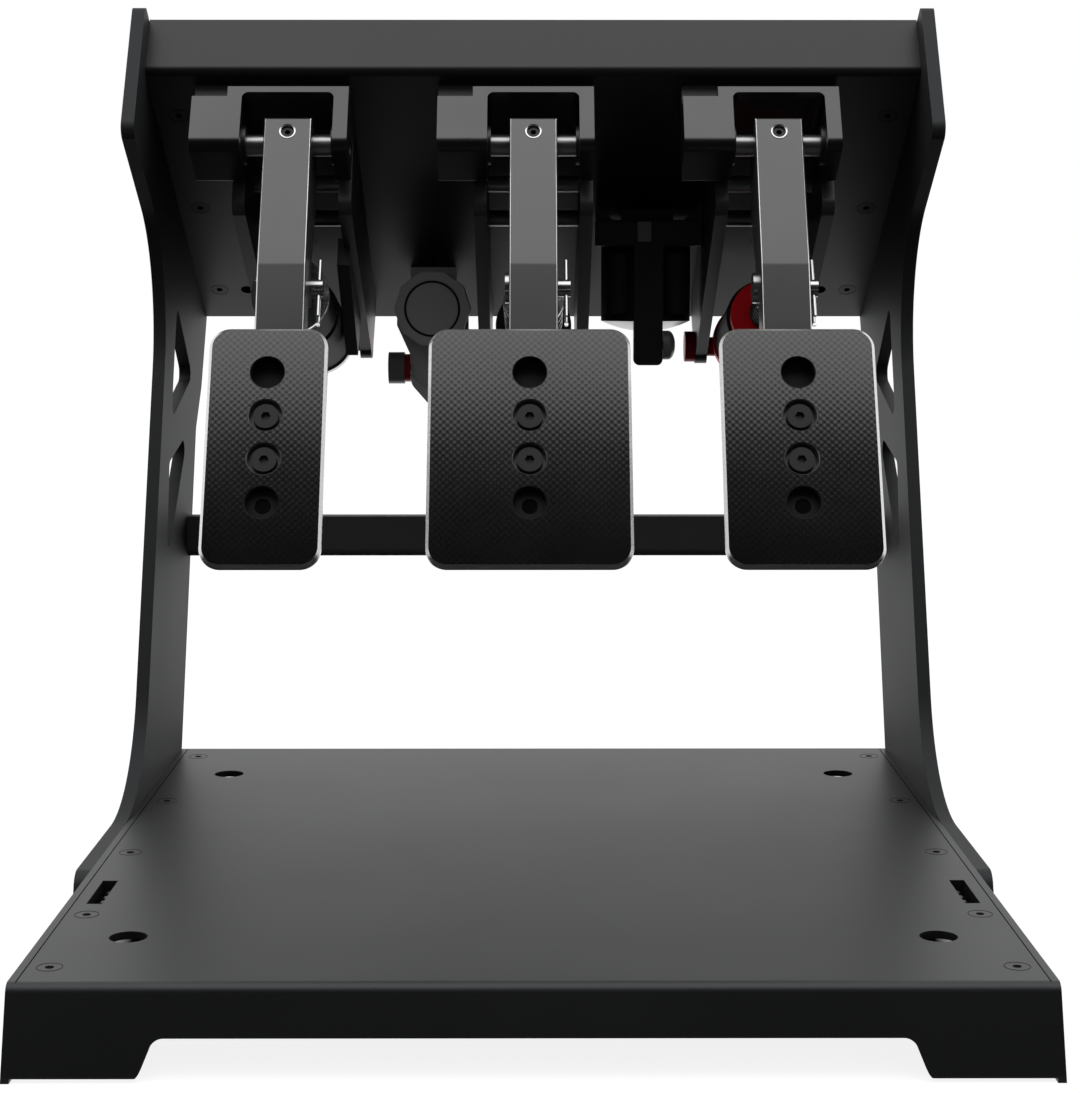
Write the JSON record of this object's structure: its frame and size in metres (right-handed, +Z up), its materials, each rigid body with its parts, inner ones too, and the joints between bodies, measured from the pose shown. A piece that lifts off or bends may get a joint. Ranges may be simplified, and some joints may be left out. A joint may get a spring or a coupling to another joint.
{
  "type": "sim racing pedal set",
  "caption": "Hanging sim racing pedals on a bent-sheet floor frame: sprung clutch, brake and throttle arms with dampers under a sloping mounting plate.",
  "frame": {"origin": "on the floor, at the middle of the footprint", "axes": "+Z up, +Y away from the driver, +X to the driver's right"},
  "size_m": [0.372, 0.5182, 0.3947],
  "materials": {
    "powder_black": "satin fine-texture powder coat",
    "anodised_black": "black anodised, fine bead blast",
    "anodised_grey": "dark grey anodised with bright chamfers",
    "face_black": "black anodised, diamond knurled face, bright machined edge",
    "bright_steel": "machined",
    "spring_steel": "oiled spring wire",
    "bright_alu": "machined",
    "tube_grey": "grey anodised",
    "cap_red": "red anodised",
    "pin_red": "red anodised",
    "elastomer": "matte",
    "screw_black": "black oxide",
    "bushing_dark": "dark sintered",
    "shaft_steel": "satin ground",
    "board": "circuit board",
    "unit_black": "matte",
    "unit_grey": "grey anodised",
    "knob_grey": "grey anodised with a red collar on the left one",
    "yoke_grey": "dark grey anodised, fine bead blast",
    "disc_grey": "satin",
    "unit_bracket": "black anodised"
  },
  "bodies": {
    "frame": {"base_plate": "powder_black", "base_rail_left": "powder_black", "base_rail_right": "powder_black", "side_plate_left": "powder_black", "side_plate_right": "powder_black", "mounting_plate": "powder_black", "top_rail_left": "powder_black", "top_rail_right": "powder_black", "rear_crossbar": "powder_black", "frame_screws": "screw_black", "pivot_bushings": "bushing_dark", "sensor_boards": "board", "frame_spacers": "shaft_steel", "trunnion_pins": "pin_red", "clutch_frame": "anodised_black", "clutch_yoke": "yoke_grey", "clutch_sensor_housing": "yoke_grey", "clutch_damper": "anodised_black", "clutch_damper_cap": "bright_alu", "clutch_spring": "spring_steel", "brake_frame": "anodised_black", "brake_yoke": "yoke_grey", "brake_sensor_housing": "yoke_grey", "brake_damper": "anodised_black", "brake_damper_cap": "anodised_black", "brake_elastomers": "elastomer", "throttle_frame": "anodised_black", "throttle_yoke": "yoke_grey", "throttle_sensor_housing": "yoke_grey", "throttle_damper": "tube_grey", "throttle_damper_cap": "cap_red", "throttle_preload_ring": "pin_red", "throttle_spring": "spring_steel", "haptic_left_motor": "disc_grey", "haptic_left_bracket": "unit_grey", "haptic_right_motor": "unit_black", "haptic_right_bracket": "unit_bracket"},
    "clutch_pedal": {"clutch_arm": "anodised_grey", "clutch_pivot_shaft": "shaft_steel", "clutch_clevis_pin": "bright_steel", "clutch_plate_bracket": "anodised_black", "clutch_face_plate": "face_black", "clutch_screws": "screw_black"},
    "clutch_rod": {"clutch_rod": "bright_steel"},
    "brake_pedal": {"brake_arm": "anodised_grey", "brake_pivot_shaft": "shaft_steel", "brake_clevis_pin": "bright_steel", "brake_plate_bracket": "anodised_black", "brake_face_plate": "face_black", "brake_screws": "screw_black"},
    "brake_rod": {"brake_rod": "bright_steel"},
    "throttle_pedal": {"throttle_arm": "anodised_grey", "throttle_pivot_shaft": "shaft_steel", "throttle_clevis_pin": "bright_steel", "throttle_plate_bracket": "anodised_black", "throttle_face_plate": "face_black", "throttle_screws": "screw_black"},
    "throttle_rod": {"throttle_rod": "bright_steel"},
    "left_knob": {"haptic_left_knob": "knob_grey"},
    "right_knob": {"haptic_right_knob": "knob_grey"}
  },
  "joints": [
    {"name": "clutch_swing", "type": "hinge", "parent": "frame", "child": "clutch_pedal", "pos_m": [-0.1135, 0.06634, 0.33146], "axis": [1, 0, 0], "range_deg": [0, 18], "stiffness_Nm_per_rad": 90, "springref_deg": -6.88, "deforming": ["clutch_spring"]},
    {"name": "clutch_rod_slide", "type": "slide", "parent": "frame", "child": "clutch_rod", "axis": [0, 0.9834, -0.1812], "range_m": [0, 0.02199]},
    {"name": "brake_swing", "type": "hinge", "parent": "frame", "child": "brake_pedal", "pos_m": [0, 0.06634, 0.33146], "axis": [1, 0, 0], "range_deg": [0, 7], "stiffness_Nm_per_rad": 650, "springref_deg": -6.88, "deforming": ["brake_elastomers"]},
    {"name": "brake_rod_slide", "type": "slide", "parent": "frame", "child": "brake_rod", "axis": [0, 0.9615, -0.2746], "range_m": [0, 0.00864]},
    {"name": "throttle_swing", "type": "hinge", "parent": "frame", "child": "throttle_pedal", "pos_m": [0.1135, 0.06634, 0.33146], "axis": [1, 0, 0], "range_deg": [0, 16], "stiffness_Nm_per_rad": 60, "springref_deg": -6.88, "deforming": ["throttle_spring"]},
    {"name": "throttle_rod_slide", "type": "slide", "parent": "frame", "child": "throttle_rod", "axis": [0, 0.9801, -0.1984], "range_m": [0, 0.01957]},
    {"name": "left_knob_turn", "type": "hinge", "parent": "frame", "child": "left_knob", "pos_m": [-0.072, 0.20521, 0.22278], "axis": [1, 0, 0], "continuous": true},
    {"name": "right_knob_turn", "type": "hinge", "parent": "frame", "child": "right_knob", "pos_m": [0.068, 0.14602, 0.23657], "axis": [1, 0, 0], "continuous": true}
  ],
  "couplings": [
    {"joint": "clutch_rod_slide", "follows": "clutch_swing", "m_per_rad": 0.069662},
    {"joint": "brake_rod_slide", "follows": "brake_swing", "m_per_rad": 0.069906},
    {"joint": "throttle_rod_slide", "follows": "throttle_swing", "m_per_rad": 0.069723}
  ]
}
